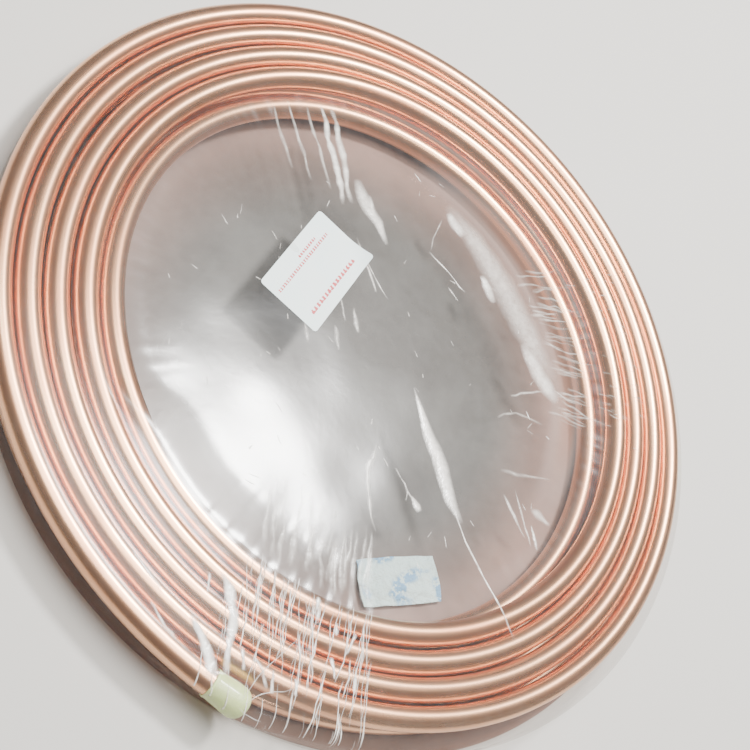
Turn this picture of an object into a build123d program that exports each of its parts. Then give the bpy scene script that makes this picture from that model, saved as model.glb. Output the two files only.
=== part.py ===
"""Flat-wound coil of copper tube in two layers, wrapped in clear film for storage.

The coil lies flat with its axis along +Z. The origin is on that axis, on the level floor.
Azimuths are degrees counter-clockwise from +X, seen from above. Lengths are millimetres.
"""
from build123d import *
import os
from math import atan2, cos, degrees, radians, sin, sqrt

os.makedirs("parts", exist_ok=True)

# Tube
tube_od = 19.05
tube_wall = 0.89

# Winding: the outer turn's centre line, the gaps between turns and the height of one layer
coil_radius = 308.0
turn_gap = 1.35
layer_settle = 0.25
full_turns = 4

# Flat sides that stand for the round section of a wound turn
turn_sides = 8

# Azimuths where each layer's two half turns meet, and where the lower layer's outer end leaves it
top_split = 225.0
low_split = 315.0
low_end_azimuth = 16.0

# Free ends: how far each runs on its wider arc, and how much wider that arc is
end_sweep = 16.3
end_spring = 60.0

# Slip-on end caps
cap_wall = 0.8
cap_length = 33.0
cap_grip = 26.0
cap_clearance = 0.05

# Film wrap, drawn tight round the coil and its caps and dished over the bore
film_thickness = 0.4
film_clearance = 0.1
film_sag = 5.0
film_slope = 40.0

# Paper label on the film
label_length = 95.0
label_width = 58.0
label_thickness = 0.3
label_azimuth = 142.3
label_radius = 80.3
label_turn = -32.0
label_clearance = 0.1

# Sachet of drying agent inside the bore, and its distance from the innermost turn
sachet_length = 74.0
sachet_width = 38.0
sachet_thickness = 7.0
sachet_edge = 1.2
sachet_pillow = 6.0
sachet_azimuth = 279.7
sachet_gap = 14.3
sachet_turn = 11.5

# Sizes that follow
tube_r = tube_od / 2
pitch = tube_od + turn_gap
layer_pitch = tube_od - layer_settle
cap_r = tube_r + cap_clearance + cap_wall
floor_z = film_thickness + film_clearance
low_z = floor_z + cap_r
top_z = low_z + layer_pitch
middle_z = (low_z + top_z) / 2
film_height = top_z + cap_r + film_clearance + film_thickness
innermost_radius = coil_radius - full_turns * pitch
bore_radius = innermost_radius - tube_r
side_angle = 360 / turn_sides


def along(azimuth, distance, z=0):
    """The point at an azimuth and a distance from the coil's axis."""
    return Vector(distance * cos(radians(azimuth)), distance * sin(radians(azimuth)), z)


def corner(sides):
    """A corner of a turn's section, counted in sides from the middle of its crest."""
    return Vector(tube_r * sin(radians(sides * side_angle)), tube_r * cos(radians(sides * side_angle)))


def turns_section(radii, z):
    """Outline of turns that lie side by side: crests and grooves outside, joined at half height."""
    up = 1 if z > middle_z else -1
    crest = corner(0.5)
    shoulder = corner(1.5)
    flank = [shoulder, corner(2.5)]
    slope = (shoulder.Y - crest.Y) / (shoulder.X - crest.X)
    groove = crest.Y + slope * (pitch / 2 - crest.X)

    points = [(min(radii), middle_z)]
    points += [(min(radii) - c.X, z + up * c.Y) for c in reversed(flank)]
    for radius in sorted(radii):
        points += [(radius - crest.X, z + up * crest.Y), (radius + crest.X, z + up * crest.Y)]
        if radius < max(radii):
            points += [(radius + pitch / 2, z + up * groove)]
    points += [(max(radii) + c.X, z + up * c.Y) for c in flank]
    return points + [(max(radii), middle_z)]


def arc_of_turns(centre, radii, start, sweep, z):
    """Turns that run side by side through one sweep about their own centre."""
    with BuildPart() as arc:
        with BuildSketch(Plane.XZ):
            with BuildLine():
                Polyline(*turns_section(radii, z), close=True)
            make_face()
        revolve(axis=Axis.Z, revolution_arc=sweep)
    return Pos(centre.X, centre.Y, 0) * Rot(0, 0, start) * arc.part


def crossover():
    """The innermost turn, which drops from the top layer to the lower one over half a turn."""
    slant = degrees(atan2(layer_pitch / 2, innermost_radius))
    slant_radius = sqrt(innermost_radius ** 2 + (layer_pitch / 2) ** 2)
    with BuildPart() as turn:
        with BuildSketch(Plane.XZ):
            with Locations((slant_radius, 0)):
                RegularPolygon(tube_r, turn_sides, rotation=90 + side_angle / 2)
        revolve(axis=Axis.Z, revolution_arc=180)
    return Pos(0, 0, middle_z) * Rot(0, 0, top_split - 180) * Rot(0, slant, 0) * turn.part


def coil():
    """The whole winding as one solid: two spirals of half turns, joined by the crossover."""
    axis = Vector(0, 0, 0)
    top_centre = along(top_split - 180, pitch / 2)
    low_centre = along(low_split - 180, pitch / 2)
    drop_azimuth = top_split - 180

    whole = [coil_radius - k * pitch for k in range(full_turns)]
    halfway = [radius - pitch / 2 for radius in whole]
    body = arc_of_turns(axis, whole, drop_azimuth, 180, top_z)
    body += arc_of_turns(top_centre, halfway, top_split, 180, top_z)
    body += arc_of_turns(low_centre, halfway, low_split - 180, 180, low_z)

    body += arc_of_turns(axis, whole[1:], drop_azimuth, low_split - 180 - drop_azimuth, low_z)
    body += arc_of_turns(axis, whole[1:] + [innermost_radius], low_split - 360,
                         drop_azimuth - low_split + 360, low_z)
    body += arc_of_turns(axis, whole[:2], low_end_azimuth, low_split - 180 - low_end_azimuth, low_z)
    return body + crossover()


def free_end(joint, z, side):
    """The free end of the tube, and the plane where its cap begins.

    It leaves the outer turn at the joint's azimuth on a wider arc, so that it springs away from
    the coil, and ends in a straight open stretch. The side is 1 where it runs counter-clockwise.
    """
    centre = along(joint + 180, end_spring)
    radius = coil_radius + end_spring
    azimuth = joint + side * end_sweep
    with BuildPart() as arc:
        with BuildSketch(Plane.XZ):
            with Locations((radius, z)):
                RegularPolygon(tube_r, turn_sides, rotation=90)
        revolve(axis=Axis.Z, revolution_arc=end_sweep)
    with BuildPart() as straight:
        with BuildSketch(Plane.XY):
            Circle(tube_r)
            Circle(tube_r - tube_wall, mode=Mode.SUBTRACT)
        extrude(amount=cap_grip)
    mouth = centre + along(azimuth, radius, z)
    frame = Plane(origin=mouth, x_dir=(0, 0, 1), z_dir=along(azimuth + 90 * side, 1))
    bend = Pos(centre.X, centre.Y, 0) * Rot(0, 0, min(joint, azimuth)) * arc.part
    return bend + frame.location * straight.part, frame


def end_cap(frame):
    """A moulded cap with one closed end, pushed over the tube."""
    with BuildPart() as cap:
        with BuildSketch(Plane.XY):
            Circle(cap_r)
        extrude(amount=cap_length)
        with BuildSketch(Plane.XY):
            Circle(tube_r + cap_clearance)
        extrude(amount=cap_grip + cap_clearance, mode=Mode.SUBTRACT)
    return frame.location * cap.part


def film_outline(clearance):
    """The outline of film drawn round the coil, its free ends and both ends of each cap."""
    with BuildSketch() as outline:
        with BuildLine():
            CenterArc((0, 0), coil_radius + tube_r + clearance, 0, 360)
            for joint, frame, side in free_ends:
                centre = along(joint + 180, end_spring)
                start = min(joint, joint + side * end_sweep)
                reach = coil_radius + end_spring + tube_r + clearance
                CenterArc((centre.X, centre.Y), reach, start, end_sweep)
                for distance in (0, cap_length):
                    end = frame.origin + frame.z_dir * distance
                    CenterArc((end.X, end.Y), cap_r + clearance, 0, 360)
        make_hull()
    return outline.sketch


def film_side():
    """The band of film round the outside, which stands on the base and carries the top."""
    with BuildPart() as band:
        with BuildSketch(Plane.XY.offset(film_thickness)):
            add(film_outline(film_clearance + film_thickness))
            add(film_outline(film_clearance), mode=Mode.SUBTRACT)
        extrude(amount=film_height - 2 * film_thickness)
    return band.part


def film_base():
    """The film under the coil, flat on the floor."""
    with BuildPart() as sheet:
        with BuildSketch():
            add(film_outline(film_clearance + film_thickness))
        extrude(amount=film_thickness)
    return sheet.part


def film_top():
    """The film over the coil, with a shallow dish over the bore."""
    rim = innermost_radius
    flat = rim - film_slope
    under = film_height - film_thickness
    with BuildPart() as sheet:
        with BuildSketch(Plane.XY.offset(under)):
            add(film_outline(film_clearance + film_thickness))
            Circle(rim, mode=Mode.SUBTRACT)
        extrude(amount=film_thickness)
        with BuildSketch(Plane.XZ):
            with BuildLine():
                Polyline((rim, film_height), (flat, film_height - film_sag), (0, film_height - film_sag),
                         (0, under - film_sag), (flat, under - film_sag), (rim, under), close=True)
            make_face()
        revolve(axis=Axis.Z, revolution_arc=360)
    return sheet.part


def label():
    """Thin card that lies on the film over the bore."""
    place = along(label_azimuth, label_radius, film_height - film_sag + label_clearance)
    with BuildPart() as card:
        with BuildSketch(Plane.XY):
            Rectangle(label_width, label_length)
        extrude(amount=label_thickness)
    return Pos(*place) * Rot(0, 0, label_turn) * card.part


def pillow_profile(length):
    """Outline of a pillow seen from one side, with its sealed edge at half height."""
    edge = length / 2
    flat = edge - sachet_pillow
    low = (sachet_thickness - sachet_edge) / 2
    right = [(flat, 0), (edge, low), (edge, sachet_thickness - low), (flat, sachet_thickness)]
    return right + [(-x, z) for x, z in reversed(right)]


def sachet():
    """Small pillow with flat sealed edges, on the film's base."""
    radius = bore_radius - sachet_gap - sachet_width / 2
    with BuildPart() as pillow:
        for plane, length, across, mode in (
            (Plane.XZ, sachet_length, sachet_width, Mode.ADD),
            (Plane.YZ, sachet_width, sachet_length, Mode.INTERSECT),
        ):
            with BuildSketch(plane):
                with BuildLine():
                    Polyline(*pillow_profile(length), close=True)
                make_face()
            extrude(amount=across / 2, both=True, mode=mode)
    return Pos(*along(sachet_azimuth, radius, floor_z)) * Rot(0, 0, sachet_turn) * pillow.part


top_tube, top_frame = free_end(top_split, top_z, 1)
low_tube, low_frame = free_end(low_end_azimuth, low_z, -1)
free_ends = [(top_split, top_frame, 1), (low_end_azimuth, low_frame, -1)]

for name, solid in (
    ("tube_coil", coil() + top_tube + low_tube),
    ("outer_end_cap", end_cap(top_frame)),
    ("lower_end_cap", end_cap(low_frame)),
    ("film_top", film_top()),
    ("film_side", film_side()),
    ("film_base", film_base()),
    ("paper_label", label()),
    ("drying_sachet", sachet()),
):
    export_step(solid, f"parts/{name}.step")

print("height", round(film_height, 1), "mm, bore", round(2 * bore_radius, 1), "mm")
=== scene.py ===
"""The look of a flat-wound coil of copper tube, capped and wrapped in clear film."""
from math import cos, pi, radians, sin, sqrt

import bmesh
import bpy
import numpy as np
from mathutils import Matrix, Vector
from mathutils.bvhtree import BVHTree


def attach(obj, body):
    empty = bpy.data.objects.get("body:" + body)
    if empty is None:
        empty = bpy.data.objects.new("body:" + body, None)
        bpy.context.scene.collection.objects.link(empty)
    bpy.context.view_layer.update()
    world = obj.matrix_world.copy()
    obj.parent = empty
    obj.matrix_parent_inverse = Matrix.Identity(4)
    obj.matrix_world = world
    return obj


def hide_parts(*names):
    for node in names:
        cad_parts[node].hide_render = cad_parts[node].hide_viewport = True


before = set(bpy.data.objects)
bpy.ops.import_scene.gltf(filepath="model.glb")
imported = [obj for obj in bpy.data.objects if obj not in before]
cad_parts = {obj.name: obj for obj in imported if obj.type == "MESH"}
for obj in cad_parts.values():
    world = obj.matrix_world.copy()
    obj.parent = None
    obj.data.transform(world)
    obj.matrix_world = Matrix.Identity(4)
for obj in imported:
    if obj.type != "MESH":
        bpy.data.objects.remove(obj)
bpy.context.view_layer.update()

# Camera
# It looks down on the coil from beyond its near left side, a little rolled, as in the photograph.
camera_place = Vector((-0.4869, -0.4550, 0.8124))
camera_forward = Vector((0.47389, 0.42316, -0.77225))
camera_up = Vector((-0.22132, 0.90606, 0.36066))
camera_right = camera_forward.cross(camera_up).normalized()

camera = bpy.data.objects.new("camera", bpy.data.cameras.new("camera"))
camera.data.sensor_width = 36
camera.data.lens = 61.655
camera.data.clip_start = 0.01
camera.matrix_world = Matrix.Translation(camera_place) @ Matrix(
    (camera_right, camera_right.cross(camera_forward), -camera_forward)).transposed().to_4x4()
bpy.context.scene.collection.objects.link(camera)
bpy.context.scene.camera = camera


# Copper tube
# One length of soft annealed copper tube, wound flat in two layers that a crossover joins.
# It is drawn to size, so fine streaks run along it, and each turn lies against the last.
tube_diameter = 0.01905
turn_radius = 0.308
turn_pitch = 0.0204
layer_height = 0.0188
lower_height = 0.010875
waviness = 0.00035
low_end_azimuth = 16
low_split_azimuth = 135
drop_azimuth = 45
top_end_azimuth = 225
end_sweep = 16.3
end_spring = 0.060
end_straight = 0.025
half_turns = 8
path_points = 1800
ring_points = 28


class Wire:
    """One output in a node tree. Arithmetic on it adds Math nodes."""

    def __init__(self, tree, socket=None):
        self.tree = tree
        self.socket = socket

    def node(self, kind, sockets=(), output=0, **settings):
        """Adds a node: its settings first, then the values or wires of its sockets."""
        made = self.tree.nodes.new(kind)
        for name, value in settings.items():
            setattr(made, name, value)
        for key, value in dict(sockets).items():
            if isinstance(value, Wire):
                self.tree.links.new(value.socket, made.inputs[key])
            else:
                made.inputs[key].default_value = value
        return Wire(self.tree, made.outputs[output])

    def maths(self, operation, *values):
        return self.node("ShaderNodeMath", enumerate(values), operation=operation)

    def __add__(self, other):
        return self.maths("ADD", self, other)

    def __radd__(self, other):
        return self.maths("ADD", other, self)

    def __sub__(self, other):
        return self.maths("SUBTRACT", self, other)

    def __rsub__(self, other):
        return self.maths("SUBTRACT", other, self)

    def __mul__(self, other):
        return self.maths("MULTIPLY", self, other)

    def __rmul__(self, other):
        return self.maths("MULTIPLY", other, self)

    def __truediv__(self, other):
        return self.maths("DIVIDE", self, other)

    def __pow__(self, other):
        return self.maths("POWER", self, other)

    def sin(self):
        return self.maths("SINE", self)

    def cos(self):
        return self.maths("COSINE", self)

    def floor(self):
        return self.maths("FLOOR", self)

    def abs(self):
        return self.maths("ABSOLUTE", self)

    def held(self, low, high):
        """The value, kept between two limits."""
        return self.maths("MINIMUM", self.maths("MAXIMUM", self, low), high)

    def above(self, other):
        return self.maths("GREATER_THAN", self, other)

    def rise(self, low, high):
        """0 up to low and 1 from high, with a smooth change between."""
        return self.node("ShaderNodeMapRange", {"Value": self, "From Min": low, "From Max": high},
                         interpolation_type="SMOOTHSTEP")

    def vector(self, x, y, z):
        return self.node("ShaderNodeCombineXYZ", enumerate((x, y, z)))

    def parts(self):
        """The three numbers of a vector."""
        split = self.tree.nodes.new("ShaderNodeSeparateXYZ")
        self.tree.links.new(self.socket, split.inputs[0])
        return [Wire(self.tree, split.outputs[k]) for k in range(3)]

    def noise(self, scale, detail=2.0, roughness=0.5, output=0):
        return self.node("ShaderNodeTexNoise", {"Vector": self, "Scale": scale, "Detail": detail,
                                                "Roughness": roughness}, output)

    def mix(self, low, high):
        """Between two colours, by this value."""
        return self.node("ShaderNodeMix", {0: self, 6: low, 7: high}, 2, data_type="RGBA")

    def bump(self, distance, strength=1.0):
        return self.node("ShaderNodeBump", {"Height": self, "Distance": distance, "Strength": strength})


def finish_of(name):
    """A new material and a wire to build its nodes from."""
    material = bpy.data.materials.new(name)
    material.use_nodes = True
    material.node_tree.nodes.clear()
    return material, Wire(material.node_tree)


def surface(wire, shader):
    output = wire.tree.nodes.new("ShaderNodeOutputMaterial")
    wire.tree.links.new(shader.socket, output.inputs["Surface"])


def drawn_copper():
    material, wire = finish_of("drawn_copper")
    ring = wire.node("ShaderNodeAttribute", output="Vector", attribute_name="ring")
    along = wire.node("ShaderNodeAttribute", output="Fac", attribute_name="along")
    across, up, _ = ring.parts()
    streak = wire.vector(across * 420, up * 420, along * 2.5).noise(1.0, 2.0, 0.5)
    haze = wire.vector(across * 90, up * 90, along * 9).noise(1.0, 2.0, 0.6)
    tarnish = haze.rise(0.42, 0.72)
    colour = tarnish.mix((0.90, 0.51, 0.29, 1), (0.71, 0.34, 0.185, 1))
    shader = wire.node("ShaderNodeBsdfPrincipled", {
        "Base Color": colour,
        "Metallic": 1.0,
        "Roughness": 0.235 + streak * 0.07 + tarnish * 0.07,
        "Normal": streak.bump(0.00003),
    })
    surface(wire, shader)
    return material


def tube_tree(material):
    """Geometry nodes that wind the tube: half turns about two centres, so that it spirals evenly."""
    tree = bpy.data.node_groups.new("wound_tube", "GeometryNodeTree")
    sizes = {
        "Turn Radius": turn_radius,
        "Turn Pitch": turn_pitch,
        "Tube Diameter": tube_diameter,
        "Lower Height": lower_height,
        "Layer Height": layer_height,
        "End Spring": end_spring,
        "End Straight": end_straight,
        "Waviness": waviness,
    }
    for name in sizes:
        tree.interface.new_socket(name, in_out="INPUT", socket_type="NodeSocketFloat")
    tree.interface.new_socket("Geometry", in_out="OUTPUT", socket_type="NodeSocketGeometry")
    given = tree.nodes.new("NodeGroupInput")
    wire = Wire(tree)
    radius, pitch, diameter, low, layer, spring, straight, wave = [
        Wire(tree, given.outputs[name]) for name in sizes]

    path_start = radians(low_end_azimuth - end_sweep)
    coil_start = radians(low_end_azimuth)
    first_joint = radians(low_split_azimuth)
    drop_side = radians(drop_azimuth)
    drop_start = drop_side + half_turns * pi
    drop_end = drop_start + pi
    coil_end = drop_end + half_turns * pi
    path_end = coil_end + radians(end_sweep)

    spare = straight / (radius + spring)
    share = wire.node("GeometryNodeInputIndex") / (path_points - 1)
    angle = path_start - spare + (path_end - path_start + 2 * spare) * share
    turned = angle.held(path_start, path_end)
    beyond = angle - turned

    on_top = turned.above(drop_end)
    low_step = (((turned - first_joint) / pi).floor() + 1).held(0, half_turns)
    top_step = ((turned - drop_end) / pi).floor().held(0, half_turns - 1)
    low_shift = (1 - on_top) * low_step.maths("MODULO", low_step, 2) * pitch / 2
    top_shift = on_top * (1 - top_step.maths("MODULO", top_step, 2)) * pitch / 2
    low_free = (1 - turned.above(coil_start)) * spring
    top_free = turned.above(coil_end) * spring
    reach = (radius + low_free + top_free
             - (1 - on_top) * low_step * pitch / 2
             - on_top * (half_turns - 1 - top_step) * pitch / 2)
    reach = reach + wave * ((turned * 2.3 + 0.6).sin() + 0.6 * (turned * 3.7).sin())

    x = low_shift * cos(first_joint) + top_shift * cos(drop_side)
    y = low_shift * sin(first_joint) + top_shift * sin(drop_side)
    x = x - low_free * cos(coil_start) - top_free * cos(coil_end)
    y = y - low_free * sin(coil_start) - top_free * sin(coil_end)
    x = x + reach * (turned.cos() - beyond * turned.sin())
    y = y + reach * (turned.sin() + beyond * turned.cos())
    rise = (1 - (turned.held(drop_start, drop_end) - drop_start).cos()) / 2
    z = low + layer * rise

    line = wire.node("GeometryNodeMeshLine", {"Count": path_points})
    path = wire.node("GeometryNodeSetPosition", {"Geometry": line, "Position": wire.vector(x, y, z)})
    curve = wire.node("GeometryNodeMeshToCurve", {"Mesh": path})
    curve = wire.node("GeometryNodeSetCurveNormal", {"Curve": curve}, mode="Z_UP")
    length = wire.node("GeometryNodeSplineParameter", output="Length")
    curve = wire.node("GeometryNodeStoreNamedAttribute",
                      {"Geometry": curve, "Name": "along", "Value": length},
                      data_type="FLOAT", domain="POINT")
    section = wire.node("GeometryNodeCurvePrimitiveCircle",
                        {"Resolution": ring_points, "Radius": diameter / 2})
    spot = wire.node("GeometryNodeInputPosition")
    section = wire.node("GeometryNodeStoreNamedAttribute",
                        {"Geometry": section, "Name": "ring", "Value": spot},
                        data_type="FLOAT_VECTOR", domain="POINT")
    tube = wire.node("GeometryNodeCurveToMesh",
                     {"Curve": curve, "Profile Curve": section, "Fill Caps": True})
    tube = wire.node("GeometryNodeSetShadeSmooth", {"Geometry": tube})
    tube = wire.node("GeometryNodeRealizeInstances", {"Geometry": tube})
    tube = wire.node("GeometryNodeSetMaterial", {"Geometry": tube, "Material": material})
    output = tree.nodes.new("NodeGroupOutput")
    tree.links.new(tube.socket, output.inputs["Geometry"])
    return tree, sizes


def from_tree(name, tree, sizes, material):
    """Runs a tree on an empty mesh and returns what it makes as a plain mesh object."""
    holder = bpy.data.objects.new(name + "_holder", bpy.data.meshes.new(name + "_holder"))
    bpy.context.scene.collection.objects.link(holder)
    modifier = holder.modifiers.new("nodes", "NODES")
    modifier.node_group = tree
    for item in tree.interface.items_tree:
        if item.in_out == "INPUT":
            modifier[item.identifier] = sizes[item.name]
    bpy.context.view_layer.update()
    seen = holder.evaluated_get(bpy.context.evaluated_depsgraph_get())
    mesh = bpy.data.meshes.new_from_object(seen)
    holder.modifiers.remove(modifier)
    bpy.data.objects.remove(holder)
    mesh.name = name
    if not mesh.materials:
        mesh.materials.append(material)
    made = bpy.data.objects.new(name, mesh)
    bpy.context.scene.collection.objects.link(made)
    return made


copper = drawn_copper()
coil_tree, coil_sizes = tube_tree(copper)
coil = from_tree("copper_tube", coil_tree, coil_sizes, copper)
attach(coil, "root")
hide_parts("tube_coil")


# End caps
# Pale green polythene caps, moulded with one closed end and pushed over both ends of the tube
# to keep it clean inside.
cap_length = 0.0315
cap_depth = 0.026
cap_wall = 0.0008
cap_round = 0.0095
cap_bulge = 0.0011
cap_lip = 0.0024
cap_clearance = 0.00005
cap_pole = 0.0001
cap_steps = 12
cap_segments = 48


def mesh_object(name, points, faces, material):
    """An object at the origin whose mesh has its place in it."""
    mesh = bpy.data.meshes.new(name)
    mesh.from_pydata([tuple(p) for p in points], [], faces)
    mesh.materials.append(material)
    mesh.polygons.foreach_set("use_smooth", [True] * len(mesh.polygons))
    made = bpy.data.objects.new(name, mesh)
    bpy.context.scene.collection.objects.link(made)
    return made


def cap_plastic():
    material, wire = finish_of("cap_plastic")
    place = wire.node("ShaderNodeTexCoord", output="Object")
    cloud = place.noise(160, 3, 0.6)
    fine = place.noise(900, 2, 0.5)
    colour = cloud.rise(0.35, 0.7).mix((0.72, 0.86, 0.37, 1), (0.82, 0.95, 0.47, 1))
    shader = wire.node("ShaderNodeBsdfPrincipled", {
        "Base Color": colour,
        "Roughness": 0.36 + cloud * 0.16,
        "Subsurface Weight": 0.15,
        "Subsurface Radius": (0.002, 0.003, 0.001),
        "Subsurface Scale": 1.0,
        "Normal": (cloud + fine * 0.3).bump(0.0002),
    })
    surface(wire, shader)
    return material


def cap_profile(swell):
    """Radius and distance from the mouth, from the bore's floor round the rim to the closed end."""
    inner = tube_diameter / 2 + cap_clearance
    outer = inner + cap_wall
    points = [(cap_pole, cap_depth), (inner, cap_depth), (inner, 0.0004), (inner + 0.0003, 0)]
    points += [(outer + 0.0003 * swell, 0.0001), (outer + 0.0004 * swell, 0.0014), (outer, cap_lip)]
    shoulder = cap_length - cap_round
    for step in range(1, cap_steps + 1):
        part = step / cap_steps
        bulge = swell * cap_bulge * sin(part * pi / 2) ** 2
        points.append((outer + bulge, cap_lip + (shoulder - cap_lip) * part))
    wide = outer + swell * cap_bulge - cap_pole
    for step in range(1, cap_steps + 1):
        turn = step / cap_steps * pi / 2
        points.append((cap_pole + wide * cos(turn) ** 0.8, shoulder + cap_round * sin(turn)))
    return points


def on_free_end(joint, azimuth):
    """Where the free end's centre line is at an azimuth of its own, wider arc, seen from above."""
    back = radians(joint + 180)
    wide = turn_radius + end_spring
    return end_spring * cos(back) + wide * cos(azimuth), end_spring * sin(back) + wide * sin(azimuth)


def free_end_frame(joint, height, side):
    """Where the cap's mouth is, the way that the cap points, and the outward way across it."""
    azimuth = radians(joint + side * end_sweep)
    mouth = Vector((*on_free_end(joint, azimuth), height))
    outward = Vector((cos(azimuth), sin(azimuth), 0))
    ahead = Vector((-sin(azimuth), cos(azimuth), 0)) * side
    return mouth, ahead, outward


def end_cap(name, node, joint, height, side, swell, material):
    mouth, ahead, outward = free_end_frame(joint, height, side)
    above = ahead.cross(outward)
    points = []
    faces = []
    profile = cap_profile(swell)
    for radius, distance in profile:
        for k in range(cap_segments):
            turn = 2 * pi * k / cap_segments
            points.append(mouth + ahead * distance + (outward * cos(turn) + above * sin(turn)) * radius)
    for ring in range(len(profile) - 1):
        for k in range(cap_segments):
            a = ring * cap_segments + k
            b = ring * cap_segments + (k + 1) % cap_segments
            faces.append((a, a + cap_segments, b + cap_segments, b))
    last = (len(profile) - 1) * cap_segments
    faces.append(tuple(range(cap_segments)))
    faces.append(tuple(range(last + cap_segments - 1, last - 1, -1)))
    cap = mesh_object(name, points, faces, material)
    outward_faces(cap)
    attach(cap, "root")
    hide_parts(node)
    return cap


def outward_faces(piece):
    """Merges doubles and turns every face outward."""
    shape = bmesh.new()
    shape.from_mesh(piece.data)
    bmesh.ops.remove_doubles(shape, verts=shape.verts, dist=1e-6)
    bmesh.ops.recalc_face_normals(shape, faces=shape.faces)
    shape.to_mesh(piece.data)
    shape.free()


green = cap_plastic()
upper_height = lower_height + layer_height
outer_cap = end_cap("outer_cap", "outer_end_cap", top_end_azimuth, upper_height, 1, 1, green)
# The lower cap is held between the floor and the turn above, so it has no swell
lower_cap = end_cap("lower_cap", "lower_end_cap", low_end_azimuth, lower_height, -1, 0, green)


# Film over the coil
# One web of clear stretch film, drawn tight across the turns, dished over the bore, taken down
# the side round both caps and tucked under the coil. It creases where it is gathered.
film_gap = 0.00018
film_dip = 0.0006
bore_sag = 0.0038
sag_reach = 0.042
roll_height = 0.00024
roll_length = 0.080
crinkle_height = 0.00005
crinkle_length = 0.044
pucker_height = 0.00022
pucker_length = 0.010
pucker_reach = 0.207
side_fold = 0.0005
side_bow = 0.0012
outer_cap_azimuth = 247.3
lower_cap_azimuth = -6.3
outer_cap_bend = 0.0020
lower_cap_bend = 0.001
disc_radius = 0.12
disc_steps = 70
film_azimuths = 8 * disc_steps
even_reach = 0.198
even_rows = 26
rim_rows = 74
tuck = 0.014
hem_height = 0.00045
above_film = 0.06


def outline_of(joint, height, side, margin):
    """Distance of the drawn film from the axis at each azimuth, round one layer and its free end."""
    outer = tube_diameter / 2 + margin
    points = [(0, 0, turn_radius + outer)]
    for step in range(9):
        azimuth = radians(joint + side * end_sweep * step / 8)
        points.append((*on_free_end(joint, azimuth), outer))
    mouth, ahead, _ = free_end_frame(joint, height, side)
    for distance in (0, cap_length):
        end = mouth + ahead * distance
        points.append((end.x, end.y, outer + cap_wall + cap_bulge + 0.0002))
    turns = np.linspace(0, 2 * pi, 2880, endpoint=False)
    support = np.max([x * np.cos(turns) + y * np.sin(turns) + radius for x, y, radius in points], axis=0)
    azimuths = np.linspace(0, 2 * pi, film_azimuths, endpoint=False)
    lean = np.cos(azimuths[:, None] - turns[None, :])
    return np.min(np.where(lean > 0.2, support[None, :] / np.maximum(lean, 0.2), 9.0), axis=1)


def smoothed(values, passes, wrap=True):
    """Averages neighbours a few times, round the coil or along each row."""
    for _ in range(passes):
        if wrap:
            values = (np.roll(values, 1) + 2 * values + np.roll(values, -1)) / 4
        else:
            wide = np.concatenate((values[:, :1], values, values[:, -1:]), axis=1)
            values = (wide[:, :-2] + 2 * values + wide[:, 2:]) / 4
    return values


def ease(values, low, high):
    part = np.clip((values - low) / (high - low), 0, 1)
    return part * part * (3 - 2 * part)


def rolling(x, y, length, seed):
    """Smooth random waves of about one length, between about -1 and 1."""
    rng = np.random.default_rng(seed)
    total = 0
    for _ in range(14):
        heading = rng.uniform(0, 2 * pi)
        rate = 2 * pi / (length * rng.uniform(0.7, 1.6))
        total = total + np.sin(rate * (x * cos(heading) + y * sin(heading)) + rng.uniform(0, 2 * pi))
    return total / 5


def film_relief(x, y):
    """Height of the film's own waves: broad rolls, smaller crinkles and puckers near the rim."""
    reach = np.hypot(x, y)
    azimuth = np.arctan2(y, x)
    open_part = 1 - ease(reach, 0.19, 0.222)
    rolls = roll_height * rolling(x, y, roll_length, 3)
    crinkle = crinkle_height * rolling(x, y, crinkle_length, 8)
    near_rim = np.exp(-((reach - pucker_reach) / 0.020) ** 2)

    def toward(middle, wide, full):
        return ease(np.cos(azimuth - radians(middle)), cos(radians(wide)), cos(radians(full)))

    sector = 0.15 + toward(248, 26, 10) + 0.8 * toward(112, 24, 8) + 0.8 * toward(2, 30, 10)
    pucker = rolling(np.cos(azimuth) * 0.21, np.sin(azimuth) * 0.21, pucker_length, 5)
    return open_part * (rolls + crinkle) + near_rim * sector * pucker * pucker_height


def disc_grid(radius, steps):
    """Points and faces of a disc whose square grid is bent round, so that no spoke shows."""
    points = []
    faces = []
    across = 2 * steps + 1
    for i in range(-steps, steps + 1):
        for j in range(-steps, steps + 1):
            far = max(abs(i), abs(j))
            turn = 0.0
            if far and abs(i) >= abs(j):
                turn = pi / 4 * j / i + (pi if i < 0 else 0)
            elif far:
                turn = pi / 2 - pi / 4 * i / j + (pi if j < 0 else 0)
            points.append((radius * far / steps * cos(turn), radius * far / steps * sin(turn)))
            if i < steps and j < steps:
                a = (i + steps) * across + j + steps
                faces.append((a, a + across, a + across + 1, a + 1))
    return np.array(points), faces


def covered_shape(pieces):
    """A search tree of every face that the film lies on."""
    points = []
    faces = []
    for piece in pieces:
        start = len(points)
        points += [v.co for v in piece.data.vertices]
        faces += [[start + k for k in face.vertices] for face in piece.data.polygons]
    return BVHTree.FromPolygons(points, faces)


def beside_cap(azimuths, cap_azimuth):
    """1 where a cap stands out under the film, and 0 a little to either side of it."""
    return ease(np.cos(azimuths - radians(cap_azimuth)), 0.990, 0.998)


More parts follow.
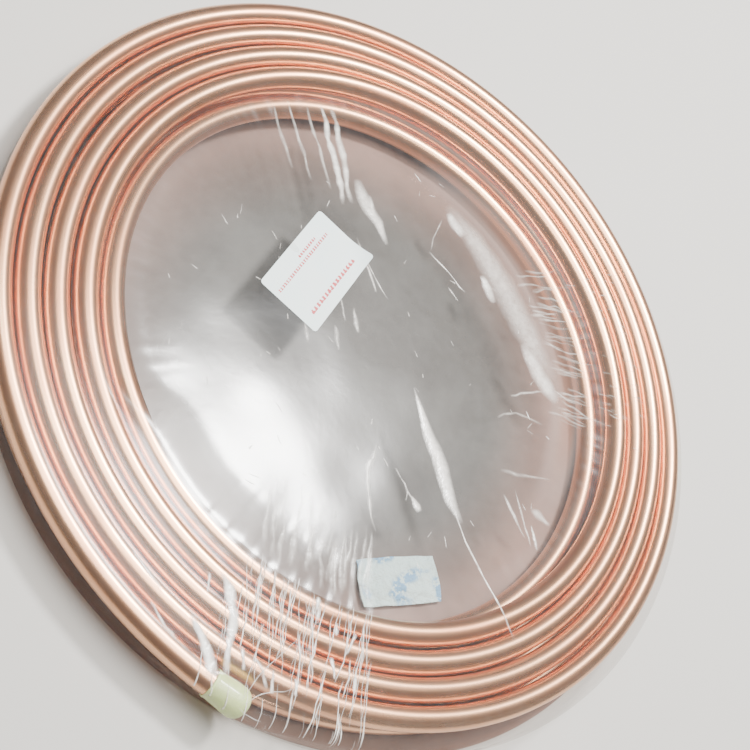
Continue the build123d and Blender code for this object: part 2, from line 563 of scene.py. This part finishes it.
def film_top_rows():
    """The film's top from the disc's edge out to where it bends down, as rows round the coil."""
    shape = covered_shape([coil, outer_cap, lower_cap])
    azimuths = np.linspace(0, 2 * pi, film_azimuths, endpoint=False)
    top_reach = outline_of(top_end_azimuth, upper_height, 1, film_gap)
    top_bend = tube_diameter / 2 + film_gap + outer_cap_bend * beside_cap(azimuths, outer_cap_azimuth)
    rim = top_reach - top_bend
    even_part = np.tile(np.linspace(disc_radius, even_reach, even_rows + 1)[:-1], (film_azimuths, 1))
    rim_part = even_reach + (rim - even_reach)[:, None] * np.linspace(0, 1, rim_rows)[None, :]
    radii = np.concatenate((even_part, rim_part), axis=1)
    plane = upper_height + tube_diameter / 2 + film_gap
    under = np.zeros_like(radii)
    for i, azimuth in enumerate(azimuths):
        for j in range(even_rows - 4, even_rows + rim_rows):
            start = Vector((radii[i, j] * cos(azimuth), radii[i, j] * sin(azimuth), above_film))
            hit = shape.ray_cast(start, Vector((0, 0, -1)))[0]
            under[i, j] = hit.z if hit else 0
    raised = under > plane - 0.0008
    inner = smoothed(np.array([radii[i, np.argmax(raised[i])] for i in range(film_azimuths)]), 60)
    x = radii * np.cos(azimuths)[:, None]
    y = radii * np.sin(azimuths)[:, None]
    sag = bore_sag * (1 - ease(radii, (inner - sag_reach)[:, None], inner[:, None]))
    heights = plane - sag - film_dip * ease(radii, inner[:, None] - 0.004, inner[:, None] + 0.006)
    heights = np.maximum(heights + film_relief(x, y), under + film_gap)
    heights = np.maximum(smoothed(heights, 2, wrap=False), under + film_gap)
    return azimuths, radii, heights, rim, top_bend


def film_side_rows(azimuths, edge, rim, top_bend):
    """The film from its top edge down the side, round the lower layer and under it."""
    low_reach = outline_of(low_end_azimuth, lower_height, -1, film_gap)
    low_bend = tube_diameter / 2 + film_gap + lower_cap_bend * beside_cap(azimuths, lower_cap_azimuth)
    rise = edge - upper_height
    rows = []
    for turn in np.linspace(0, pi / 2, 8)[1:]:
        rows.append((rim + top_bend * sin(turn), upper_height + rise * cos(turn)))
    side_top = rim + top_bend
    folds = side_fold * rolling(np.cos(azimuths) * 0.32, np.sin(azimuths) * 0.32, 0.012, 4)
    for part in np.linspace(0, 1, 11)[1:]:
        bow = (folds - side_bow) * sin(pi * part)
        rows.append((side_top + (low_reach - side_top) * part + bow,
                     upper_height + (lower_height - upper_height) * part))
    for turn in np.linspace(0, pi / 2, 7)[1:]:
        rows.append((low_reach - low_bend * (1 - cos(turn)),
                     lower_height - (lower_height - hem_height) * sin(turn)))
    for part in (0.5, 1.0):
        rows.append((low_reach - low_bend - tuck * part, hem_height))
    return rows


def film_over():
    azimuths, radii, heights, rim, top_bend = film_top_rows()
    rows = [(radii[:, j], heights[:, j]) for j in range(radii.shape[1])]
    rows += film_side_rows(azimuths, heights[:, -1], rim, top_bend)
    dish = upper_height + tube_diameter / 2 + film_gap - bore_sag
    flat, faces = disc_grid(disc_radius, disc_steps)
    lift = dish + film_relief(flat[:, 0], flat[:, 1])
    points = np.column_stack((flat, lift)).tolist()
    first = len(points)
    for distance, height in rows:
        level = np.broadcast_to(height, azimuths.shape)
        points += np.column_stack((distance * np.cos(azimuths), distance * np.sin(azimuths), level)).tolist()
    for j in range(len(rows) - 1):
        here = first + j * film_azimuths
        for i in range(film_azimuths):
            after = (i + 1) % film_azimuths
            faces.append((here + i, here + i + film_azimuths, here + after + film_azimuths, here + after))
    made = mesh_object("film_over", points, faces, clear_film)
    outward_faces(made)
    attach(made, "root")
    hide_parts("film_top")
    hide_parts("film_side")
    return made


def film_finish():
    """Clear film: it mirrors the lamps by Fresnel, and less where it clings to the turns. Near the bore's
    rim on the right, a pinkish-brown milky veil is a painted glow: it stands in for the copper's reflected
    light where there is shade under the turns.
    """
    material, wire = finish_of("clear_film")
    place = wire.node("ShaderNodeTexCoord", output="Object")
    scuff = place.noise(140, 2, 0.5)
    normal = scuff.bump(0.00003)
    mirror = wire.node("ShaderNodeBsdfGlossy", {"Roughness": 0.15, "Normal": normal})
    clear = wire.node("ShaderNodeBsdfTransparent", {"Color": (0.95, 0.94, 0.93, 1)})
    edge = wire.node("ShaderNodeFresnel", {"IOR": 1.5, "Normal": normal})
    x, y, _ = place.parts()
    reach = (x * x + y * y) ** 0.5
    clinging = reach.rise(0.219, 0.231) * 0.66
    shine = (edge * 1.5).held(0, 0.32) * (1 - clinging)
    base = wire.node("ShaderNodeMixShader", {0: shine, 1: clear, 2: mirror})
    # Painted glow: a pinkish-brown veil over the bore's right rim, standing in for the copper's reflected
    # light
    facing = (x * 0.94 + y * 0.34) / reach
    painted_glow = facing.rise(0.45, 0.9) * reach.rise(0.162, 0.184) * (1 - reach.rise(0.188, 0.203))
    milky_and_glow = wire.node("ShaderNodeBsdfPrincipled", {
        "Base Color": painted_glow.mix((0.85, 0.83, 0.82, 1), (0.48, 0.27, 0.20, 1)),
        "Roughness": 0.9,
        "Specular IOR Level": 0.1,
    })
    haze = 0.012 + scuff * 0.035 + painted_glow * 0.27
    surface(wire, wire.node("ShaderNodeMixShader", {0: haze, 1: base, 2: milky_and_glow}))
    return material


clear_film = film_finish()
over = film_over()


# Creases of the film
# Narrow folds that stand up where the film is gathered, white where each is several layers
# thick. The same white strokes also carry painted light: the wide soft bands are painted glare and
# the short glints are painted highlights, where the film would mirror the lamps. They are pressed
# into the film as it is drawn tight, so they lie on it.
crease_columns = 7
crease_step = 0.0016
crease_lift = 0.00012
crease_stand = 0.0004
crease_spread = 1.35
# Where the large creases and the painted glints and glare bands run: how white each is, then its points
# as millimetres from the coil's axis, each with the width there
drawn_creases_and_glare = (
    (0.95, (24, -32, 1.5), (32, -51, 5.1), (40, -73, 10.2), (51, -96, 12.1),
     (60, -121, 9), (68, -138, 3.5)),
    (0.85, (53, -114, 1.4), (74, -154, 1.6), (94, -189, 1.5), (112, -224, 1.1)),
    (0.35, (-110, 192, 2), (-100, 166, 3.3), (-88, 136, 2)),
    (0.45, (-97, 200, 2.6), (-84, 166, 3.6), (-71, 130, 2)),
    (0.40, (-79, 203, 2.1), (-64, 164, 3.1), (-53, 128, 2.1)),
    (0.95, (-65, 208, 3.2), (-56, 177, 5.3), (-47, 148, 6.2), (-40, 117, 4.1)),
    (0.75, (-54, 210, 3.2), (-44, 171, 5.2), (-37, 144, 5.2), (-32, 121, 3.1)),
    (0.75, (-27, 147, 6.4), (-21, 128, 12.1), (-10, 112, 9), (2, 92, 3.3)),
    (0.44, (64, 152, 10), (90, 123, 20), (117, 90, 26), (142, 50, 25), (168, 6, 13)),
    (0.75, (64, 144, 6.2), (71, 134, 11.1), (80, 125, 7.4)),
    (0.75, (98, 92, 4.8), (104, 80, 9.6), (110, 68, 4.8)),
    (0.70, (137, 36, 7.3), (151, 18, 14.6), (162, 1, 14.6), (173, -11, 7.3)),
    (0.70, (43, 98, 1.5), (61, 85, 1.5), (80, 69, 1.5)),
    (0.45, (45, 100, 1.1), (49, 117, 1.3), (58, 135, 1.1)),
    (0.50, (62, 70, 1.5), (72, 59, 1.5)),
    (0.50, (122, -16, 1.7), (139, -10, 1.9), (158, -4, 1.4)),
    (0.40, (108, -40, 1.8), (128, -29, 2.3), (155, -36, 1.9)),
    (0.35, (108, -85, 2.7), (134, -86, 2.7), (160, -83, 1.8)),
    (0.60, (111, -105, 2.1), (119, -120, 3.2), (130, -139, 1.6)),
    (0.50, (123, -99, 1.7), (129, -122, 1.7), (135, -146, 1.3)),
    (0.60, (137, -127, 2.1), (140, -138, 2.6), (141, -148, 1.6)),
    (0.50, (138, -113, 4.1), (147, -118, 7.2), (156, -124, 4.1)),
    (0.45, (-8, -88, 3.2), (-15, -103, 5), (-17, -124, 4.4), (-14, -142, 2.7), (-10, -159, 1.8)),
    (0.70, (22, -123, 2.9), (26, -129, 5.8), (30, -135, 3.9)),
    (0.50, (-29, 90, 1.6), (-14, 65, 1.5), (1, 40, 1.3)),
    (0.60, (-20, 72, 3.1), (-14, 57, 3.1), (-9, 44, 2.1)),
    (0.40, (-42, 31, 1.9), (-40, 20, 1.9), (-38, 10, 1.4)),
    (0.45, (-30, 25, 2.4), (-29, 15, 4.6), (-26, 3, 2.6)),
    (0.40, (-47, 5, 2.2), (-45, -5, 4), (-43, -17, 2.4)),
    (0.35, (-74, 1, 2.2), (-72, -7, 3.8), (-70, -17, 2.2)),
    (0.70, (-16, 135, 2.4), (-13, 121, 4.8), (-6, 103, 2.6)),
    (0.50, (8, -103, 1.5), (16, -115, 1.6), (24, -127, 1.5)),
    (1.20, (-133, -206, 3.6), (-128, -215, 5.6), (-124, -230, 7.4), (-125, -245, 6),
     (-126, -260, 5.6), (-126, -277, 6.4)),
    (1.20, (-156, -240, 3), (-144, -256, 5.6), (-140, -265, 6.8), (-137, -280, 8)),
    (0.75, (-143, -209, 2.2), (-143, -216, 2.9), (-144, -224, 2.2)),
    (0.60, (-199, -202, 2.1), (-188, -215, 3.6), (-175, -228, 2.8)),
    (0.70, (-184, -234, 2.1), (-174, -247, 3.5), (-164, -258, 2.8)),
    (0.60, (-108, -261, 1.5), (-101, -269, 3), (-97, -283, 2.3)),
    (0.60, (-117, -294, 0.8), (-108, -270, 0.9), (-102, -236, 0.7)),
    (0.55, (-117, -294, 0.8), (-100, -272, 0.8), (-72, -244, 0.7)),
    (0.55, (-117, -296, 0.9), (-100, -286, 0.8), (-77, -281, 0.7)),
    (0.50, (-118, -297, 0.8), (-111, -301, 0.8), (-99, -304, 0.7)),
)


def crease_and_glint_finish():
    material, wire = finish_of("creased_film_and_painted_glints")
    place = wire.node("ShaderNodeTexCoord", output="Object")
    white = wire.node("ShaderNodeAttribute", output="Fac", attribute_name="white")
    uneven = place.noise(210, 2, 0.6)
    clear = wire.node("ShaderNodeBsdfTransparent", {"Color": (1, 1, 1, 1)})
    # White for folds of several layers, and painted highlight where a stroke stands for a glint or glare
    folds_and_glints = wire.node("ShaderNodeBsdfPrincipled", {
        "Base Color": (1.0, 0.95, 0.89, 1),
        "Roughness": 0.25,
        "Specular IOR Level": 1.0,
        "Normal": uneven.bump(0.0004),
    })
    amount = (white * (0.55 + uneven * 1.3)).held(0, 1)
    surface(wire, wire.node("ShaderNodeMixShader", {0: amount, 1: clear, 2: folds_and_glints}))
    return material


def scattered_creases_and_glints():
    """Families of creases: pleats beside the outer cap and above the lower one, and small painted glints."""
    rng = np.random.default_rng(12)
    found = []

    def add(azimuth, reach, heading, length, start_width, end_width, white):
        x, y = reach * cos(radians(azimuth)), reach * sin(radians(azimuth))
        dx, dy = length * cos(radians(heading)), length * sin(radians(heading))
        bend = rng.normal(0, 0.03)
        middle = (x + dx / 2 - bend * dy, y + dy / 2 + bend * dx, (start_width + end_width) / 2)
        found.append((white, (x, y, start_width), middle, (x + dx, y + dy, end_width)))

    # Fine pleats across the turns, beside the outer cap
    for _ in range(100):
        reach = rng.choice([rng.uniform(0.216, 0.226), rng.uniform(0.23, 0.325)])
        width = rng.uniform(0.0005, 0.0015)
        add(rng.uniform(239, 268), reach, 262.5 + rng.normal(0, 4), rng.uniform(0.014, 0.070),
            width, width * 0.6, rng.uniform(0.45, 1.1))
    # Short wide folds among them
    for _ in range(9):
        add(rng.uniform(241, 266), rng.uniform(0.216, 0.300), 262.5 + rng.normal(0, 9),
            rng.uniform(0.009, 0.018), 0.0030, 0.0024, rng.uniform(0.8, 1.1))
    # Faint pleats that run from there over the bore
    for _ in range(40):
        add(rng.uniform(234, 266), rng.uniform(0.145, 0.180), 262.5 + rng.normal(0, 2),
            rng.uniform(0.030, 0.055), 0.0020, 0.0045, rng.uniform(0.10, 0.32))
    # Faint pleats over the bore's edge above the lower cap, then short painted glints on the turns beyond it
    for _ in range(46):
        azimuth = rng.uniform(-9, 38)
        add(azimuth, rng.uniform(0.162, 0.185), azimuth * 0.5 - 4 + rng.normal(0, 5),
            rng.uniform(0.022, 0.046), 0.0026, 0.0010, rng.uniform(0.12, 0.42))
    for _ in range(50):
        azimuth = rng.uniform(-9, 30)
        add(azimuth, rng.uniform(0.21, 0.275), azimuth * 0.6 - 5 + rng.normal(0, 5),
            rng.uniform(0.007, 0.018), 0.0012, 0.0008, rng.uniform(0.12, 0.40))
    # Small painted glints all over the bore: white marks standing in for highlights
    for _ in range(70):
        add(rng.uniform(0, 360), 0.19 * sqrt(rng.uniform(0, 1)), rng.normal(118, 28),
            rng.uniform(0.003, 0.011), 0.0012, 0.0007, rng.uniform(0.3, 0.7))
    return found


def film_creases_and_glints():
    sheet = covered_shape([over])
    rng = np.random.default_rng(3)
    points = []
    whites = []
    faces = []
    drawn = [(white, *np.array(stations) / 1000) for white, *stations in drawn_creases_and_glare]
    for white, *stations in drawn + scattered_creases_and_glints():
        route = np.array(stations)
        gone = np.concatenate(([0], np.cumsum(np.hypot(*np.diff(route[:, :2], axis=0).T))))
        length = gone[-1]
        count = max(6, int(length / crease_step))
        parts = np.linspace(0, 1, count + 1)
        x, y, width = (np.interp(parts * length, gone, route[:, k]) for k in range(3))
        for line in (x, y, width):
            for _ in range(4):
                line[1:-1] = (line[:-2] + 2 * line[1:-1] + line[2:]) / 4
        knots = max(4, int(length / 0.006))
        ragged = np.interp(parts, np.linspace(0, 1, knots), rng.uniform(0.55, 1.3, knots))
        knots = max(4, int(length / 0.004))
        uneven = np.interp(parts, np.linspace(0, 1, knots), rng.uniform(0.45, 1.1, knots))
        # The wide strokes are painted glare bands, so they are kept even and soft
        even = 0.85 * ease(np.max(width), 0.005, 0.012)
        ragged = ragged + (1 - ragged) * even
        uneven = uneven + (0.85 - uneven) * even
        width = crease_spread * width * ragged
        dx, dy = np.gradient(x), np.gradient(y)
        run = np.hypot(dx, dy)
        shift = np.interp(parts, np.linspace(0, 1, 7), rng.normal(0, 1, 7)) * min(0.0012, 0.012 * length)
        fade = np.minimum(1, np.minimum(parts, 1 - parts) / 0.22) ** 0.8
        previous = None
        for k in range(count + 1):
            row = []
            for column in range(crease_columns):
                side = 2 * column / (crease_columns - 1) - 1
                offset = side * width[k] / 2 + shift[k]
                spot = Vector((x[k] - dy[k] / run[k] * offset, y[k] + dx[k] / run[k] * offset, above_film))
                hit = sheet.ray_cast(spot, Vector((0, 0, -1)))[0]
                if hit is None:
                    break
                stand = crease_lift + min(crease_stand, width[k] * 0.3) * (1 - abs(side))
                edge = (1 - side * side) ** max(1.5, 2.2 - white)
                row.append((spot.x, spot.y, hit.z + stand, white * edge * fade[k] * uneven[k]))
            if len(row) < crease_columns:
                previous = None
                continue
            start = len(points)
            points += [item[:3] for item in row]
            whites += [item[3] for item in row]
            if previous is not None:
                for c in range(crease_columns - 1):
                    faces.append((previous + c, previous + c + 1, start + c + 1, start + c))
            previous = start
    made = mesh_object("film_creases_and_glints", points, faces, crease_and_glint_finish())
    kept = made.data.attributes.new("white", "FLOAT", "POINT")
    kept.data.foreach_set("value", np.array(whites, dtype=np.float32))
    if sum(face.normal.z for face in made.data.polygons) < 0:
        made.data.flip_normals()
    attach(made, "root")
    return made


crease_and_glint_sheet = film_creases_and_glints()


# Film under the coil
# The same clear film, drawn flat beneath the coil and caught under the upper film's tuck. It lies
# several layers thick, so it is hazy where its folds gather. Its dark tint is painted shade, and toward
# the rim it has a painted pinkish-brown glow that stands in for the copper's reflected light.
under_lift = 0.00020
under_wave = 0.00005
under_inset = 0.004
upper_inset = 0.02
under_steps = 75


def film_under():
    low = outline_of(low_end_azimuth, lower_height, -1, film_gap)
    top = outline_of(top_end_azimuth, upper_height, 1, film_gap) - upper_inset
    reach = np.maximum(low, top) - under_inset
    flat, faces = disc_grid(1.0, under_steps)
    azimuth = np.arctan2(flat[:, 1], flat[:, 0]) % (2 * pi)
    far = np.interp(azimuth, np.linspace(0, 2 * pi, film_azimuths, endpoint=False), reach, period=2 * pi)
    x = flat[:, 0] * far
    y = flat[:, 1] * far
    lift = under_lift + under_wave * rolling(x, y, 0.05, 31)
    made = mesh_object("film_under", np.column_stack((x, y, lift)).tolist(), faces, hazy_film_shade_and_glow)
    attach(made, "root")
    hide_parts("film_base")
    return made


def film_under_finish():
    # Painted light: a pinkish-brown glow toward the rim, and painted shade in the dark tint and grey veil
    """The same film, gathered in many layers, so that it is cloudy and takes up the copper's glow."""
    material, wire = finish_of("hazy_film_shade_and_glow")
    place = wire.node("ShaderNodeTexCoord", output="Object")
    x, y, _ = place.parts()
    glow = (x * x + y * y) ** 0.5 + x * 0.10 + y * 0.04
    cloud = place.noise(9, 3, 0.55)
    fold = place.noise(26, 2, 0.5)
    ridge = (1 - (fold - 0.5).abs() * 9).held(0, 1)
    normal = (cloud * 2 + ridge * 0.2).bump(0.00015)
    # Toward the rim, more veil in pinkish-brown: a painted glow for the copper's reflected light
    veil_and_glow = 0.34 + cloud.rise(0.35, 0.7) * 0.20 + ridge * 0.04 + glow.rise(0.17, 0.22) * 0.30
    mirror = wire.node("ShaderNodeBsdfGlossy", {"Roughness": 0.22, "Normal": normal})
    # The dark tint of what shows through, and the dark grey of the veil, are painted shade for the dim depth
    # under the bore
    clear = wire.node("ShaderNodeBsdfTransparent", {"Color": (0.32, 0.305, 0.285, 1)})
    edge = wire.node("ShaderNodeFresnel", {"IOR": 1.5, "Normal": normal})
    base = wire.node("ShaderNodeMixShader", {0: edge, 1: clear, 2: mirror})
    shaded_grey = cloud.rise(0.4, 0.65).mix((0.130, 0.121, 0.111, 1), (0.180, 0.178, 0.165, 1))
    cloud_shade_and_glow = wire.node("ShaderNodeBsdfPrincipled", {
        "Base Color": (glow.rise(0.13, 0.21) * 0.85).mix(shaded_grey, (0.40, 0.23, 0.18, 1)),
        "Roughness": 0.45,
        "Normal": normal,
    })
    surface(wire, wire.node("ShaderNodeMixShader", {0: veil_and_glow, 1: base, 2: cloud_shade_and_glow}))
    return material


hazy_film_shade_and_glow = film_under_finish()
film_under()


# Paper label
# A white self-adhesive card that lies on the film over the bore, printed in red, with one
# corner lifting.
label_width = 0.058
label_length = 0.095
label_corner = 0.003
label_centre = Vector((-0.0635, 0.0491, 0.03565))
label_turn = radians(-32)
label_columns = 25
lift_start = 0.034
lift_length = 0.020
lift_height = 0.00546
# Printed rows: from and to across the card, from and to along it, and the spacing of the strokes
label_marks = (
    (0.0158, 0.0194, -0.037, 0.034, 0.0044),
    (-0.0190, -0.0166, -0.004, 0.022, 0.0030),
    (-0.0138, -0.0112, -0.042, 0.034, 0.0030),
)


def printed_paper():
    material, wire = finish_of("printed_paper")
    spot = wire.node("ShaderNodeAttribute", output="Vector", attribute_name="flat_place")
    x, y, _ = spot.parts()
    wobble = spot.noise(520, 2, 0.5)
    marks = 0
    for low_x, high_x, low_y, high_y, spacing in label_marks:
        inside = x.above(low_x) * (1 - x.above(high_x)) * y.above(low_y) * (1 - y.above(high_y))
        strokes = (y * (2 * pi / spacing)).sin() * 0.4 + (x * (2 * pi / spacing)).sin() * 0.15 + wobble * 1.6
        marks = marks + inside * strokes.rise(0.62, 0.80)
    fibre = spot.noise(2500, 3, 0.6)
    stain = spot.noise(40, 2, 0.5)
    paper = stain.rise(0.3, 0.7).mix((0.87, 1.0, 1.0, 1), (0.92, 1.0, 1.0, 1))
    surface(wire, wire.node("ShaderNodeBsdfPrincipled", {
        "Base Color": marks.held(0, 1).mix(paper, (0.62, 0.06, 0.07, 1)),
        "Roughness": 0.42 + fibre * 0.15,
        "Normal": (fibre + stain * 6).bump(0.00004),
    }))
    return material


def paper_label():
    straight = label_length / 2 - label_corner
    rounded = label_length / 2 - label_corner * (1 - np.cos(np.linspace(pi / 2, 0, 7)))
    rows = np.concatenate((-rounded[::-1], np.linspace(-straight, straight, 40)[1:-1], rounded))
    points = []
    flats = []
    for v in rows:
        past = max(0, abs(v) - straight)
        half = label_width / 2 - label_corner + sqrt(max(0, label_corner ** 2 - past ** 2))
        for k in range(label_columns):
            u = half * (2 * k / (label_columns - 1) - 1)
            lifted = max(0, (u + v) * sqrt(0.5) - lift_start)
            lift = lift_height * (lifted / lift_length) ** 2
            wave = 0.00025 * sin(u * 90 + 1) * sin(v * 70)
            place = Vector((u * (1 - lifted), v, 0.0002 + lift + abs(wave)))
            points.append(label_centre + Matrix.Rotation(label_turn, 3, "Z") @ place)
            flats.append((u, v, 0))
    faces = []
    for j in range(len(rows) - 1):
        for k in range(label_columns - 1):
            a = j * label_columns + k
            faces.append((a, a + 1, a + label_columns + 1, a + label_columns))
    made = mesh_object("label_sheet", points, faces, printed_paper())
    kept = made.data.attributes.new("flat_place", "FLOAT_VECTOR", "POINT")
    kept.data.foreach_set("vector", np.array(flats, dtype=np.float32).ravel())
    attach(made, "root")
    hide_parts("paper_label")


paper_label()


# Sachet
# A small pillow of tough white paper, filled with drying beads and crimped shut round its edges,
# with a faint blue all-over print.
sachet_length = 0.074
sachet_width = 0.038
sachet_height = 0.007
sachet_centre = Vector((0.0310, -0.1810, 0.0005))
sachet_turn = radians(11.5)
sachet_seal = 0.004
sachet_columns = 75
sachet_rows = 43


def sachet_paper():
    material, wire = finish_of("sachet_paper")
    place = wire.node("ShaderNodeTexCoord", output="Object")
    blot = place.noise(48, 1, 0.5).rise(0.48, 0.58)
    small = place.noise(260, 2, 0.6).rise(0.38, 0.52)
    fibre = place.noise(1800, 3, 0.6)
    crumple = place.noise(130, 4, 0.6)
    colour = (blot * small * 0.9).mix((0.78, 1.0, 1.0, 1), (0.20, 0.47, 0.80, 1))
    surface(wire, wire.node("ShaderNodeBsdfPrincipled", {
        "Base Color": colour,
        "Roughness": 0.55 + fibre * 0.2,
        "Normal": (crumple * 6 + fibre).bump(0.0009),
    }))
    return material


def drying_sachet():
    rng = np.random.default_rng(5)
    beads = rng.uniform(-1, 1, (46, 2))
    columns, rows = sachet_columns, sachet_rows
    u, v = np.meshgrid(np.linspace(-1, 1, columns), np.linspace(-1, 1, rows))
    puff_u = np.clip((1 - abs(u) - sachet_seal / sachet_length * 2) / 0.30, 0, 1)
    puff_v = np.clip((1 - abs(v) - sachet_seal / sachet_width * 2) / 0.45, 0, 1)
    puff = (puff_u * puff_v) ** 0.5
    lumps = sum(np.exp(-((u - a) ** 2 * 4 + (v - b) ** 2) * 18) for a, b in beads) * 0.2
    flat_x = u * sachet_length / 2
    flat_y = v * sachet_width / 2
    crumple = np.abs(rolling(flat_x, flat_y, 0.020, 41)) * 0.35 + 0.12 * rolling(flat_x, flat_y, 0.008, 43)
    full = np.clip(0.62 + 0.30 * lumps - 0.30 * crumple, 0.2, 1)
    half = 0.00022 + (sachet_height / 2 - 0.0003) * puff * full
    seal = 1 - np.clip(puff * 2, 0, 1)
    frill = seal * (0.0009 * rolling(flat_x, flat_y, 0.016, 45) + 0.0006)
    edge_x = 1 - 0.035 * v * v + 0.012 * rolling(flat_y, 0.2, 0.015, 47)
    edge_y = 1 - 0.045 * u * u + 0.022 * rolling(flat_x, 0.1, 0.022, 49)
    points = []
    for side in (1, -1):
        lowest = 0.00005 if side < 0 else 0.0006
        level = np.maximum(sachet_height * 0.42 + side * half + frill, lowest)
        for a, b, c in zip((flat_x * edge_x).ravel(), (flat_y * edge_y).ravel(), level.ravel()):
            points.append(sachet_centre + Matrix.Rotation(sachet_turn, 3, "Z") @ Vector((a, b, c)))
    faces = []
    per_side = rows * columns
    for side in range(2):
        for j in range(rows - 1):
            for k in range(columns - 1):
                a = side * per_side + j * columns + k
                face = (a, a + 1, a + columns + 1, a + columns)
                faces.append(face if side == 0 else face[::-1])
    rim = list(range(columns))
    rim += [j * columns + columns - 1 for j in range(1, rows)]
    rim += [(rows - 1) * columns + k for k in range(columns - 2, -1, -1)]
    rim += [j * columns for j in range(rows - 2, 0, -1)]
    for a, b in zip(rim, rim[1:] + rim[:1]):
        faces.append((a, a + per_side, b + per_side, b))
    made = mesh_object("sachet_pillow", points, faces, sachet_paper())
    outward_faces(made)
    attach(made, "root")
    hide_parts("drying_sachet")


drying_sachet()


# Floor and light
# A plain pale floor, one large soft light overhead and a smaller, brighter one beyond the coil,
# which the film over the bore mirrors.
floor_finish, wire = finish_of("pale_floor")
place = wire.node("ShaderNodeTexCoord", output="Object")
surface(wire, wire.node("ShaderNodeBsdfPrincipled", {
    "Base Color": place.noise(3, 3, 0.5).mix((0.62, 0.60, 0.57, 1), (0.66, 0.64, 0.61, 1)),
    "Roughness": 0.8,
}))
floor_half = 6.0
floor = mesh_object("floor", [(-floor_half, -floor_half, 0), (floor_half, -floor_half, 0),
                              (floor_half, floor_half, 0), (-floor_half, floor_half, 0)],
                    [(0, 1, 2, 3)], floor_finish)


def soft_light(name, place, target, shape, size, power, colour):
    lamp = bpy.data.lights.new(name, "AREA")
    lamp.shape = shape
    lamp.size, lamp.size_y = size
    lamp.energy = power
    lamp.color = colour
    made = bpy.data.objects.new(name, lamp)
    made.location = place
    made.rotation_mode = "QUATERNION"
    made.rotation_quaternion = (Vector(target) - Vector(place)).to_track_quat("-Z", "Y")
    bpy.context.scene.collection.objects.link(made)


soft_light("overhead", (0.0, 0.1, 2.0), (0, 0, 0), "RECTANGLE", (1.5, 1.5), 73, (1.0, 0.99, 0.95))
soft_light("far_window", (0.76, 0.70, 2.0), (0.76, 0.70, 0), "ELLIPSE", (0.48, 0.38), 86, (1.0, 0.995, 0.98))
world = bpy.data.worlds.new("studio")
world.use_nodes = True
world.node_tree.nodes["Background"].inputs["Color"].default_value = (0.80, 0.80, 0.82, 1)
world.node_tree.nodes["Background"].inputs["Strength"].default_value = 0.24
bpy.context.scene.world = world
